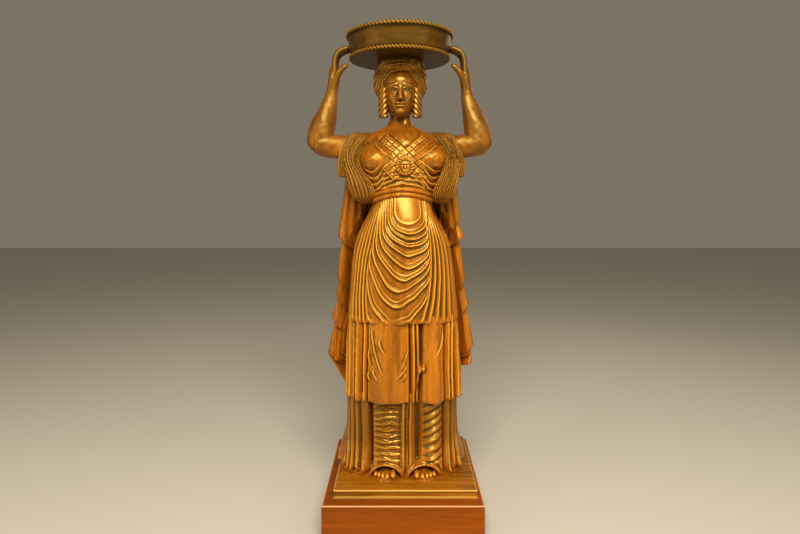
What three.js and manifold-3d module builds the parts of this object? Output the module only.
// A carved and varnished wooden statue of a goddess in a belted peplos, who steadies a round basket
// on her head with both hands. She stands on a moulded board, and the board lies on a low plinth.
// Millimetres, +Z up, the figure faces -Y. The origin is the centre of the plinth's underside.
import * as THREE from "three";
import { LoftGeometry } from "three/addons/geometries/LoftGeometry.js";
import { mergeVertices } from "three/addons/utils/BufferGeometryUtils.js";
import Module from "manifold-3d";

// Plinth and board
const PLINTH = { side: 400, height: 90, edge: 1.5 };
const BOARD = { width: 362, depth: 334, height: 22, shiftX: 6, fillet: 5, lip: 3.5, recess: 4 };
const GROUND = PLINTH.height + BOARD.height;

// Heights of the figure above the board
const HEM_MIDDLE = 194;
const HEM_OVERFOLD = 402;
const WAIST = 748;
const CHIN = 958;
const HAIR_TOP = 1114;
const LEAN = -9; // how far the head and basket stand to the left of the feet, seen from the front

// Basket
const BASKET = { height: 70, footRadius: 140, rimRadius: 149, wall: 9, floor: 12, bead: 4.5, segments: 32 };

// Body sections: reach to either side, forward and back, at heights above the board
const LOWER_SKIRT = [
  { z: 0, left: 165, right: 160, front: 98, back: 100 },
  { z: 22, left: 175, right: 169, front: 105, back: 106 },
  { z: 48, left: 171, right: 164, front: 99, back: 103 },
  { z: 88, left: 159, right: 151, front: 88, back: 98 },
  { z: 130, left: 154, right: 147, front: 86, back: 96 },
  { z: 215, left: 151, right: 145, front: 86, back: 95 },
];
const MIDDLE_SKIRT = [
  { z: HEM_MIDDLE, left: 157, right: 164, front: 95, back: 104 },
  { z: 250, left: 159, right: 160, front: 95, back: 103 },
  { z: 310, left: 157, right: 155, front: 94, back: 102 },
  { z: 420, left: 147, right: 147, front: 92, back: 98 },
];
const OVERFOLD = [
  { z: HEM_OVERFOLD, left: 152, right: 153, front: 104, back: 108 },
  { z: 500, left: 148, right: 147, front: 107, back: 106 },
  { z: 600, left: 142, right: 137, front: 106, back: 104 },
  { z: 680, left: 119, right: 111, front: 100, back: 100 },
  { z: 720, left: 96, right: 89, front: 93, back: 95 },
  { z: WAIST, left: 88, right: 80, front: 86, back: 92 },
];
const BELT = [
  { z: 734, left: 96, right: 88, front: 93, back: 99 },
  { z: 740, left: 99, right: 91, front: 96, back: 102 },
  { z: 747, left: 96, right: 88, front: 92, back: 99 },
  { z: 753, left: 99, right: 91, front: 96, back: 102 },
  { z: 759, left: 95, right: 87, front: 91, back: 98 },
];
const BUST = [
  { z: 725, left: 88, right: 80, front: 84, back: 92 },
  { z: 780, left: 112, right: 102, front: 88, back: 94 },
  { z: 835, left: 128, right: 116, front: 82, back: 96 },
  { z: 880, left: 128, right: 114, front: 66, back: 88 },
  { z: 908, left: 112, right: 98, front: 50, back: 70 },
  { z: 922, left: 70, right: 56, front: 36, back: 46 },
  { z: 932, left: 42, right: 28, front: 32, back: 36 },
];
const NECK = [
  { z: 905, left: 44, right: 44, front: 36, back: 38 },
  { z: 930, left: 32, right: 32, front: 29, back: 34 },
  { z: 955, left: 29, right: 29, front: 27, back: 34 },
  { z: 1000, left: 30, right: 30, front: 28, back: 36 },
];
const POUCH = [
  { z: 728, left: 20, right: 20, front: 44, back: 40 },
  { z: 742, left: 34, right: 34, front: 76, back: 56 },
  { z: 778, left: 37, right: 37, front: 88, back: 62 },
  { z: 862, left: 30, right: 30, front: 60, back: 50 },
];
const POUCH_FOLD = { apart: 112, height: 4, pitch: 26, slope: 0.9 };
const SLEEVE = [
  { z: 790, left: 38, right: 38, front: 48, back: 58 },
  { z: 840, left: 38, right: 38, front: 62, back: 58 },
  { z: 885, left: 34, right: 34, front: 56, back: 52 },
  { z: 908, left: 28, right: 28, front: 40, back: 40 },
  { z: 920, left: 18, right: 18, front: 20, back: 20 },
];
const SLEEVE_FALL = { apart: 126, flare: 14, pleat: 7 };

// Folds that run down the skirts: place across the front, half width and height (a groove is negative)
const LOWER_PLEATS = [
  { x: -140, half: 8, height: 5 },
  { x: -122, half: 8, height: 5 },
  { x: -103, half: 12, height: 9 },
  { x: -86, half: 9, height: -13 },
  { x: -45, half: 37, height: 7 },
  { x: 2, half: 9, height: 5 },
  { x: 19, half: 7, height: 8 },
  { x: 30, half: 9, height: -12 },
  { x: 73, half: 30, height: 9 },
  { x: 103, half: 7, height: -9 },
  { x: 116, half: 8, height: 7 },
  { x: 134, half: 8, height: 6 },
];
const MIDDLE_PLEATS = [
  { x: -134, half: 8, height: 6 },
  { x: -118, half: 8, height: 6 },
  { x: -101, half: 9, height: 6 },
  { x: -86, half: 6, height: -5 },
  { x: -38, half: 48, height: 13 },
  { x: 14, half: 9, height: 10 },
  { x: 32, half: 9, height: 9 },
  { x: 48, half: 8, height: -11 },
  { x: 81, half: 32, height: 15 },
  { x: 110, half: 7, height: -6 },
  { x: 122, half: 8, height: 6 },
  { x: 137, half: 8, height: 6 },
];
const BACK_PLEAT = 10; // height of the even folds across the back and the flanks
const HEM_SPREAD = { low: 0, high: 70, more: 1.35 }; // pleats stand out more where the hem meets the board

// Overfold: folds hang in swags between two lines, and fall in a fan outside them
const SWAG = { left: -86, right: 72, middle: 12, rise: 118, bend: 2.5, pitch: 58, height: 11 };
const SWAG_DRIFT = { by: 40, from: 560, over: 160 };
const SWAG_TOP = { full: 640, gone: 700 };
const FAN = { height: 8, atBelt: 0.5, from: 600 };

// Mantle behind the figure: its edges widen downward and step in below each hanging tail
const MANTLE = { setBack: 46, front: 40, back: 74, top: 896, shoulder: 800, widest: 290, low: 186 };
const MANTLE_CLOTH = { square: 0.62, pleat: 16, step: 9, focus: -0.35 };
const LEFT_EDGE = { top: 148, widest: 200, low: 150 };
const RIGHT_EDGE = { top: 138, widest: 190, low: 142 };
const LEFT_TAILS = [
  { z: 623, out: 186, in: 173 },
  { z: 456, out: 191, in: 183 },
  { z: 393, out: 200, in: 190 },
  { z: 290, out: 209, in: 204 },
];
const RIGHT_TAILS = [
  { z: 624, out: 177, in: 161 },
  { z: 498, out: 180, in: 172 },
  { z: 316, out: 195, in: 186 },
  { z: 262, out: 192, in: 160 },
];

// Chest: breasts, crossed bands and the round mask where they meet
const BREAST = { apart: 71, z: 834, radius: 40, height: 26 };
const BAND = { width: 46, thick: 7, edge: 3, sunk: 14, from: 92, to: 72, top: 902, low: 786, round: 140 };
const MASK = { x: -1.5, z: 827, radius: 22, thick: 13, proud: 5, segments: 12 };

// Arms, measured sideways from the middle of the head, and mirrored for the other side
const UPPER_ARM = [
  { x: 92, y: 4, z: 878, r: 34 },
  { x: 150, y: -4, z: 872, r: 32 },
  { x: 196, y: -12, z: 878, r: 32 },
  { x: 224, y: -14, z: 886, r: 31 },
  { x: 236, y: -14, z: 890, r: 20 },
];
const FOREARM = [
  { x: 220, y: -14, z: 866, r: 20, flat: 1 },
  { x: 221, y: -14, z: 884, r: 33, flat: 1 },
  { x: 213, y: -12, z: 925, r: 33, flat: 1 },
  { x: 202, y: -9, z: 963, r: 27, flat: 1 },
  { x: 191, y: -6, z: 1003, r: 19, flat: 1 },
  { x: 187, y: -4, z: 1030, r: 15, flat: 1.2 },
  { x: 183, y: -2, z: 1060, r: 15, flat: 1.65 },
  { x: 180, y: 0, z: 1088, r: 13.5, flat: 1.9 },
  { x: 179, y: 0, z: 1100, r: 9, flat: 1.9 },
];
const FINGER = [
  { x: 180, z: 1082, r: 7.6 },
  { x: 178.5, z: 1112, r: 7.6 },
  { x: 171, z: 1132, r: 7.6 },
];
const FINGERTIP = { z: 1144, r: 5.5, reach: 143.8, gap: 0.6 }; // just clear of the basket's wall
const FINGER_PLACES = [-17, -6, 6, 17];
const THUMB = [
  { x: 180, y: -12, z: 1050, r: 10 },
  { x: 170, y: -20, z: 1072, r: 9.5 },
  { x: 158, y: -23, z: 1087, r: 7.5 },
  { x: 146, y: -24, z: 1096, r: 4.5 },
];

// Head and hair, about the middle of the face
const FACE_X = LEAN + 2;
const FACE = [
  { z: CHIN - 6, left: 11, right: 11, front: 44, back: 20 },
  { z: CHIN, left: 21, right: 21, front: 57, back: 24 },
  { z: CHIN + 14, left: 32, right: 32, front: 62, back: 30 },
  { z: CHIN + 38, left: 40, right: 40, front: 64, back: 40 },
  { z: CHIN + 66, left: 44, right: 44, front: 62, back: 50 },
  { z: CHIN + 96, left: 45, right: 45, front: 62, back: 50 },
  { z: CHIN + 122, left: 36, right: 36, front: 50, back: 40 },
];
// Features of the face: heights above the chin and sizes
const NOSE = { top: 74, base: 38, under: 6, root: 3, tip: 15, rootHalf: 6.5, half: 9 };
const EYE = { x: 18, up: 66, half: 13, tall: 9, hollow: 6, ball: 4.5 };
const BROW = { x: 18, up: 77, half: 16, tall: 6, height: 3 };
const UPPER_LIP = { up: 29, half: 16, tall: 3.5, height: 4 };
const LOWER_LIP = { up: 20, half: 13, tall: 4, height: 4.5 };
const HAIR = [
  { z: 984, left: 44, right: 44, front: 10, back: 62 },
  { z: 1008, left: 58, right: 58, front: 26, back: 72 },
  { z: 1026, left: 70, right: 70, front: 40, back: 76 },
  { z: 1052, left: 74, right: 74, front: 46, back: 77 },
  { z: 1068, left: 73, right: 73, front: 54, back: 76 },
  { z: 1082, left: 71, right: 71, front: 68, back: 74 },
  { z: 1100, left: 65, right: 65, front: 67, back: 68 },
  { z: HAIR_TOP, left: 62, right: 62, front: 60, back: 62 },
];
const HAIR_LOCK = { height: 7, flatFrom: 1096 };
const SIDE_LOCK = { x: 46, y: -25, low: 953, high: 1030, half: 12, depth: 17, notch: 3, pitch: 22 };

// Feet in their sandals
const FOOT = { half: 36, length: 62, front: 132, points: 12 };
const SHOE = { sole: 5, soleProud: 4, toes: 20, top: 25, toeNotch: 3 };
const FEET_X = [-44, 54];

// Heights of the rows of points, and points round each body
const LOWER_ROWS = [0, 14, 38, 80, 140, 215];
const MIDDLE_ROWS = [HEM_MIDDLE, 215, 255, 310, 420];
const BUST_ROWS = [735, 790, 808, 824, 840, 858, 880, 905, 922, 932];
const MANTLE_ROWS = [MANTLE.low, 720, MANTLE.shoulder, 850, MANTLE.top];
const FACE_ROWS = [-6, 0, 12, 20, 25, 30, 36, 42, 56, 61, 66, 71, 77, 84, 100, 122];
const COLUMNS = { skirt: 54, overfold: 48, mantle: 24, sleeve: 21, pouch: 14 };
const UPPER_COLUMNS = { belt: 22, bust: 28, neck: 14, face: 28, hair: 27 };

const wasm = await Module();
wasm.setup();

const { smoothstep, lerp } = THREE.MathUtils;

// A closed three.js geometry as a solid that can be joined and cut
function solidOf(geometry) {
  const bare = new THREE.BufferGeometry().copy(geometry);
  bare.deleteAttribute("normal");
  bare.deleteAttribute("uv");
  const merged = mergeVertices(bare, 1e-3);
  const mesh = new wasm.Mesh({
    numProp: 3,
    vertProperties: new Float32Array(merged.attributes.position.array),
    triVerts: new Uint32Array(merged.index.array),
  });
  return new wasm.Manifold(mesh);
}

function loftOf(sections) {
  return new LoftGeometry(sections, { capStart: true, capEnd: true });
}

function join(solids) {
  return solids.reduce((all, next) => all.add(next));
}

function geometryOf(solid) {
  const mesh = solid.getMesh();
  const geometry = new THREE.BufferGeometry();
  geometry.setAttribute("position", new THREE.BufferAttribute(mesh.vertProperties, 3));
  geometry.setIndex(new THREE.BufferAttribute(mesh.triVerts, 1));
  geometry.computeVertexNormals();
  return geometry;
}

// A named size at a height, on a smooth curve through its stations
function at(stations, key, z) {
  const last = stations.length - 1;
  if (z <= stations[0].z) return stations[0][key];
  if (z >= stations[last].z) return stations[last][key];
  const i = stations.findIndex((s, k) => k < last && z < stations[k + 1].z);
  const slope = (k) => {
    const before = stations[Math.max(k - 1, 0)];
    const after = stations[Math.min(k + 1, last)];
    return (after[key] - before[key]) / (after.z - before.z);
  };
  const [a, b] = [stations[i], stations[i + 1]];
  const span = b.z - a.z;
  const t = (z - a.z) / span;
  const ease = t * (1 - t);
  return lerp(a[key], b[key], (3 - 2 * t) * t * t) + span * ease * ((1 - t) * slope(i) - t * slope(i + 1));
}

const signedPower = (v, power) => Math.sign(v) * Math.abs(v) ** power;
const bump = (q) => (Math.abs(q) < 1 ? (1 - q * q) ** 2 : 0);
const crest = (phase) => 1 - Math.abs(Math.sin(Math.PI * phase));
const bell = (q) => Math.exp(-q * q);
const narrowFold = (column) => (column % 3 ? -0.33 : 0.67);

// Evenly spaced heights, both ends included
function heights(low, high, count) {
  return Array.from({ length: count }, (_, i) => lerp(low, high, i / (count - 1)));
}

// A loft round the Z axis. Angle 0 is the front, and points lie closer together there by the focus.
// relief(x, angle, z, column) raises the surface along its outward direction.
function bodyLoft(stations, rows, columns, options = {}) {
  const { relief = () => 0, power = 0.86, focus = 0.42, x = 0, y = 0 } = options;
  const sections = rows.map((z) =>
    Array.from({ length: columns }, (_, j) => {
      const turn = (2 * Math.PI * j) / columns;
      const angle = turn - focus * Math.sin(turn);
      const [s, c] = [Math.sin(angle), Math.cos(angle)];
      const half = at(stations, s < 0 ? "left" : "right", z);
      const depth = at(stations, c < 0 ? "back" : "front", z);
      const across = half * signedPower(s, power);
      const ahead = depth * signedPower(c, power);
      const out = new THREE.Vector2(across / half ** 2, ahead / depth ** 2).normalize();
      out.multiplyScalar(relief(across, angle > Math.PI ? angle - 2 * Math.PI : angle, z, j));
      return new THREE.Vector3(x + across + out.x, y - ahead - out.y, z);
    }),
  );
  return solidOf(loftOf(sections));
}

// A limb along a smooth path, round, or wider front to back by the station's flat
function limb(stations, sides, steps) {
  const path = new THREE.CatmullRomCurve3(stations.map((s) => new THREE.Vector3(s.x, s.y, s.z)));
  const size = new THREE.CatmullRomCurve3(stations.map((s) => new THREE.Vector3(s.r, s.flat ?? 1, 0)));
  const depthWays = new THREE.Vector3(0, 1, 0);
  const sections = Array.from({ length: steps + 1 }, (_, i) => {
    const centre = path.getPoint(i / steps);
    const along = path.getTangent(i / steps);
    const { x: radius, y: flat } = size.getPoint(i / steps);
    const side = new THREE.Vector3().crossVectors(depthWays, along).normalize();
    const deep = new THREE.Vector3().crossVectors(along, side).normalize();
    return Array.from({ length: sides }, (_, j) => {
      const turn = (2 * Math.PI * j) / sides;
      const point = centre.clone().addScaledVector(side, radius * Math.cos(turn));
      return point.addScaledVector(deep, radius * flat * Math.sin(turn));
    });
  });
  return solidOf(loftOf(sections));
}

// Folds down a skirt: the listed pleats across the front, and even ones behind
function pleats(list, x, angle, column) {
  const front = smoothstep(Math.cos(angle), 0.05, 0.4);
  const listed = list.reduce((sum, p) => sum + p.height * bump((x - p.x) / p.half), 0);
  return front * listed + (1 - front) * BACK_PLEAT * narrowFold(column);
}

function lowerSkirt() {
  const spread = (z) => lerp(HEM_SPREAD.more, 1, smoothstep(z, HEM_SPREAD.low, HEM_SPREAD.high));
  const relief = (x, angle, z, column) => pleats(LOWER_PLEATS, x, angle, column) * spread(z);
  return bodyLoft(LOWER_SKIRT, LOWER_ROWS, COLUMNS.skirt, { relief });
}

function middleSkirt() {
  const relief = (x, angle, z, column) => pleats(MIDDLE_PLEATS, x, angle, column);
  return bodyLoft(MIDDLE_SKIRT, MIDDLE_ROWS, COLUMNS.skirt, { relief });
}

// Swags: nested curves that hang from the two sides of the belly and drift to one side as they fall
function swagAt(x, z) {
  const middle = SWAG.middle - SWAG_DRIFT.by * smoothstep(SWAG_DRIFT.from - z, 0, SWAG_DRIFT.over);
  const span = x < middle ? middle - SWAG.left : SWAG.right - middle;
  const share = Math.min(Math.abs(x - middle) / span, 1);
  return { share, phase: (z - SWAG.rise * share ** SWAG.bend) / SWAG.pitch };
}

function overfoldRelief(x, angle, z, column) {
  const { share, phase } = swagAt(x, z);
  const fade = 1 - smoothstep(z, SWAG_TOP.full, SWAG_TOP.gone);
  const inside = Math.cos(angle) > 0 ? 1 - smoothstep(share, 0.5, 0.9) : 0;
  const swag = SWAG.height * (crest(phase) - 0.3) * fade;
  const fan = FAN.height * narrowFold(column) * lerp(1, FAN.atBelt, smoothstep(z, FAN.from, WAIST));
  return inside * swag + (1 - inside) * fan;
}

function overfold() {
  const rows = heights(HEM_OVERFOLD, WAIST, 19);
  return bodyLoft(OVERFOLD, rows, COLUMNS.overfold, { relief: overfoldRelief, focus: 0.5 });
}

// How far a point of the chest's front stands out over a breast
function breastRise(x, z) {
  const aside = Math.abs(x - LEAN / 2) - BREAST.apart;
  return BREAST.height * bump(Math.hypot(aside, z - BREAST.z) / BREAST.radius);
}

function bust() {
  const relief = (x, angle, z) => (Math.cos(angle) > 0 ? breastRise(x, z) : 0);
  return bodyLoft(BUST, BUST_ROWS, UPPER_COLUMNS.bust, { relief, power: 0.8 });
}

// Cloth that hangs over the belt at either side of the chest
function pouch(side) {
  const { apart, height, pitch, slope } = POUCH_FOLD;
  const relief = (x, angle, z) =>
    height * (crest((z - side * x * slope) / pitch) - 0.3) * smoothstep(Math.cos(angle), 0, 0.5);
  const rows = heights(POUCH[0].z, POUCH.at(-1).z, 7);
  return bodyLoft(POUCH, rows, COLUMNS.pouch, { relief, x: side * apart + LEAN / 2 });
}

// Sleeve: cloth gathered on the shoulder that flares over the upper arm in narrow pleats
function sleeve(side) {
  const [low, high] = [SLEEVE[0].z, SLEEVE.at(-1).z];
  const sections = heights(low, high, 6).map((z) => {
    const share = (high - z) / (high - low);
    const middle = LEAN + side * (SLEEVE_FALL.apart + SLEEVE_FALL.flare * (share - 0.4));
    return Array.from({ length: COLUMNS.sleeve }, (_, j) => {
      const angle = (2 * Math.PI * j) / COLUMNS.sleeve;
      const fold = SLEEVE_FALL.pleat * narrowFold(j) * smoothstep(share, 0, 0.4);
      const across = (at(SLEEVE, "left", z) + fold) * signedPower(Math.sin(angle), 0.8);
      const depth = at(SLEEVE, Math.cos(angle) < 0 ? "back" : "front", z) + fold;
      return new THREE.Vector3(middle + across, -depth * signedPower(Math.cos(angle), 0.8), z);
    });
  });
  return solidOf(loftOf(sections));
}

// Reach of the mantle without its tails, and with them
function mantleReach(edge, z) {
  if (z < MANTLE.widest) return lerp(edge.low, edge.widest, (z - MANTLE.low) / (MANTLE.widest - MANTLE.low));
  return lerp(edge.widest, edge.top, (z - MANTLE.widest) / (MANTLE.top - MANTLE.widest));
}

function tailReach(edge, tails, z) {
  const { step } = MANTLE_CLOTH;
  let from = { z: MANTLE.top, reach: edge.top };
  for (const tail of tails) {
    if (z >= tail.z) return lerp(tail.out, from.reach, (z - tail.z) / (from.z - tail.z));
    if (z >= tail.z - step) return lerp(tail.in, tail.out, (z - tail.z + step) / step);
    from = { z: tail.z - step, reach: tail.in };
  }
  return lerp(edge.low, from.reach, (z - MANTLE.low) / (from.z - MANTLE.low));
}

function mantle() {
  const steps = [...LEFT_TAILS, ...RIGHT_TAILS].flatMap((tail) => [tail.z, tail.z - MANTLE_CLOTH.step]);
  const rows = [...MANTLE_ROWS, ...steps].sort((a, b) => a - b);
  const stations = rows.map((z) => {
    const shoulder = smoothstep(z, MANTLE.shoulder, MANTLE.top);
    return {
      z,
      left: mantleReach(LEFT_EDGE, z),
      right: mantleReach(RIGHT_EDGE, z),
      front: MANTLE.front * lerp(1, 0.5, shoulder),
      back: MANTLE.back * lerp(1, 0.6, shoulder),
    };
  });
  const relief = (x, angle, z, column) => {
    const [edge, tails] = x < 0 ? [LEFT_EDGE, LEFT_TAILS] : [RIGHT_EDGE, RIGHT_TAILS];
    const atEdge = smoothstep(Math.cos(angle), -0.5, -0.1);
    const fold = MANTLE_CLOTH.pleat * narrowFold(column);
    return lerp(fold, tailReach(edge, tails, z) - mantleReach(edge, z), atEdge);
  };
  const options = { relief, power: MANTLE_CLOTH.square, focus: MANTLE_CLOTH.focus, y: MANTLE.setBack };
  return bodyLoft(stations, rows, COLUMNS.mantle, options);
}

// Crossed bands over the chest: a raised strip from each shoulder to the far side of the belt
function chestBand(side) {
  const steps = 9;
  const [rise, lean] = [BAND.width * 0.33, side * BAND.width * 0.37];
  const sections = Array.from({ length: steps + 1 }, (_, i) => {
    const x = LEAN / 2 + side * lerp(-BAND.from, BAND.to, i / steps);
    const z = lerp(BAND.top, BAND.low, i / steps);
    const y = -at(BUST, "front", z) * Math.sqrt(1 - (x / BAND.round) ** 2) - breastRise(x, z);
    const section = [
      new THREE.Vector3(x - lean, y + BAND.sunk, z - rise),
      new THREE.Vector3(x - lean, y - BAND.edge, z - rise),
      new THREE.Vector3(x, y - BAND.thick, z),
      new THREE.Vector3(x + lean, y - BAND.edge, z + rise),
      new THREE.Vector3(x + lean, y + BAND.sunk, z + rise),
    ];
    return side > 0 ? section.reverse() : section;
  });
  return solidOf(loftOf(sections));
}

function mask() {
  const { radius, thick, proud, segments } = MASK;
  const profile = [
    [0, 0],
    [radius + 2, 0],
    [radius, thick - 2],
    [radius * 0.78, thick],
    [radius * 0.45, thick + 6],
    [0, thick + 8],
  ].map(([r, y]) => new THREE.Vector2(r, y));
  const disc = new THREE.LatheGeometry(profile, segments).rotateX(Math.PI);
  return solidOf(disc.translate(MASK.x, -at(BUST, "front", MASK.z) + proud, MASK.z));
}

function armOf(side) {
  const place = (s) => ({ ...s, x: LEAN + side * s.x });
  const fingers = FINGER_PLACES.map((y) => {
    const wall = Math.sqrt(FINGERTIP.reach ** 2 - y ** 2);
    const tip = { x: wall + FINGERTIP.gap, z: FINGERTIP.z, r: FINGERTIP.r };
    return limb([...FINGER, tip].map((s) => place({ ...s, y })), 5, 4);
  });
  const arm = [limb(UPPER_ARM.map(place), 8, 4), limb(FOREARM.map(place), 8, 10), limb(THUMB.map(place), 5, 3)];
  return join([...arm, ...fingers]);
}

// Forward relief of the face
function faceRelief(x, angle, z) {
  if (Math.cos(angle) < 0.2) return 0;
  const up = z - CHIN;
  const spot = (f) => f.height * bell(x / f.half) * bell((up - f.up) / f.tall);
  const share = smoothstep(NOSE.top - up, 0, NOSE.top - NOSE.base);
  const below = smoothstep(up, NOSE.base - NOSE.under, NOSE.base - 1);
  const nose = below * lerp(NOSE.root, NOSE.tip, share) * bell(x / lerp(NOSE.rootHalf, NOSE.half, share));
  const bridge = up < NOSE.top + NOSE.under ? nose : 0;
  const fromEye = Math.hypot((Math.abs(x) - EYE.x) / EYE.half, (up - EYE.up) / EYE.tall);
  const socket = EYE.ball * bell(2 * fromEye) - EYE.hollow * bell(fromEye);
  const brow = BROW.height * bell((up - BROW.up) / BROW.tall) * bell((Math.abs(x) - BROW.x) / BROW.half);
  return bridge + socket + brow + spot(UPPER_LIP) + spot(LOWER_LIP);
}

function face() {
  const rows = FACE_ROWS.map((up) => CHIN + up);
  return bodyLoft(FACE, rows, UPPER_COLUMNS.face, { relief: faceRelief, power: 0.95, focus: 0.5, x: FACE_X });
}

// Hair in locks, smooth at the top where the basket rests
function hair() {
  const smooth = (z) => smoothstep(z, HAIR_LOCK.flatFrom, HAIR_TOP);
  const relief = (x, angle, z, column) => HAIR_LOCK.height * narrowFold(column) * (1 - smooth(z));
  const rows = [...heights(HAIR[0].z, HAIR.at(-2).z, 10), HAIR_TOP];
  return bodyLoft(HAIR, rows, UPPER_COLUMNS.hair, { relief, focus: 0.2, x: FACE_X });
}

function sideLock(side) {
  const { x, y, low, high, half, depth, notch, pitch } = SIDE_LOCK;
  const rows = heights(low, high, 8);
  const stations = rows.map((z) => {
    const cut = notch * crest((z - low) / pitch + 0.5);
    return { z, left: half - cut, right: half - cut, front: depth - cut, back: depth };
  });
  return bodyLoft(stations, rows, 8, { power: 0.8, focus: 0, x: FACE_X + side * x, y });
}

// Toes on a sole that shows under the hem
function foot(x) {
  const { half, length, front, points } = FOOT;
  const { sole, soleProud, toes, top, toeNotch } = SHOE;
  const ring = (grow, notch, z) =>
    Array.from({ length: points }, (_, j) => {
      const angle = (2 * Math.PI * j) / points;
      const ahead = (length + grow) * Math.cos(angle) - notch * (j % 2);
      return new THREE.Vector3(x + (half + grow) * Math.sin(angle), length - front - ahead, z);
    });
  const soleRings = [ring(soleProud, 0, 0), ring(soleProud, 0, sole)];
  const toeRings = [ring(0, toeNotch, sole - 2), ring(0, toeNotch, toes), ring(-toeNotch * 2, toeNotch, top)];
  return join([soleRings, toeRings].map((rings) => solidOf(loftOf(rings))));
}

function figureGeometry() {
  const sides = [-1, 1];
  const body = join([
    lowerSkirt(),
    middleSkirt(),
    overfold(),
    mantle(),
    bust(),
    bodyLoft(BELT, BELT.map((station) => station.z), UPPER_COLUMNS.belt),
    ...sides.flatMap((side) => [pouch(side), sleeve(side), chestBand(side), armOf(side), sideLock(side)]),
    mask(),
    bodyLoft(NECK, NECK.map((station) => station.z), UPPER_COLUMNS.neck, { x: FACE_X, y: 4, focus: 0 }),
    face(),
    hair(),
    ...FEET_X.map(foot),
  ]);
  return geometryOf(body);
}

// Basket: an open tub with a rounded bead at its rim and its foot
function basketGeometry() {
  const { height, footRadius, rimRadius, wall, floor, bead, segments } = BASKET;
  const profile = new THREE.Path();
  profile.moveTo(0, 0);
  profile.lineTo(footRadius - bead, 0);
  profile.absarc(footRadius - bead, bead, bead, -Math.PI / 2, Math.PI / 2, false);
  profile.absarc(rimRadius - bead, height - bead, bead, -Math.PI / 2, Math.PI / 2, false);
  profile.lineTo(rimRadius - wall, height);
  profile.lineTo(footRadius - wall, floor);
  profile.lineTo(0, floor);
  return new THREE.LatheGeometry(profile.getPoints(2), segments).rotateX(Math.PI / 2);
}

// Board with a fillet along its upper and lower edge
function boardGeometry() {
  const { width, depth, height, fillet, lip, recess } = BOARD;
  const corners = [[-1, -1], [1, -1], [1, 1], [-1, 1]];
  const ring = (inset, z) =>
    corners.map(([i, j]) => new THREE.Vector3(i * (width / 2 - inset), j * (depth / 2 - inset), z));
  return loftOf([
    ring(0, 0),
    ring(0, lip),
    ring(recess, fillet),
    ring(recess, height - fillet),
    ring(0, height - lip),
    ring(0, height),
  ]);
}

function plinthGeometry() {
  const { side, height, edge } = PLINTH;
  const half = side / 2 - edge;
  const corners = [[-half, -half], [half, -half], [half, half], [-half, half]];
  const outline = new THREE.Shape(corners.map(([x, y]) => new THREE.Vector2(x, y)));
  const bevel = { bevelEnabled: true, bevelSize: edge, bevelThickness: edge, bevelSegments: 1 };
  return new THREE.ExtrudeGeometry(outline, { depth: height - 2 * edge, ...bevel }).translate(0, 0, edge);
}

const figureWood = new THREE.MeshStandardMaterial({ color: 0x6b3d10, roughness: 0.32, metalness: 0 });
const basketWood = new THREE.MeshStandardMaterial({ color: 0x5c360f, roughness: 0.4, metalness: 0 });
const boardWood = new THREE.MeshStandardMaterial({ color: 0x7d4a12, roughness: 0.38, metalness: 0 });
const plinthWood = new THREE.MeshStandardMaterial({ color: 0x76330c, roughness: 0.45, metalness: 0 });

function piece(name, geometry, material, x, z) {
  const mesh = new THREE.Mesh(geometry, material);
  mesh.name = name;
  mesh.position.set(x, 0, z);
  return mesh;
}

const statue = new THREE.Group();
statue.add(
  piece("plinth", plinthGeometry(), plinthWood, 0, 0),
  piece("base_board", boardGeometry(), boardWood, BOARD.shiftX, PLINTH.height),
  piece("athena_figure", figureGeometry(), figureWood, 0, GROUND),
  piece("basket", basketGeometry(), basketWood, LEAN, GROUND + HAIR_TOP),
);

export default statue;
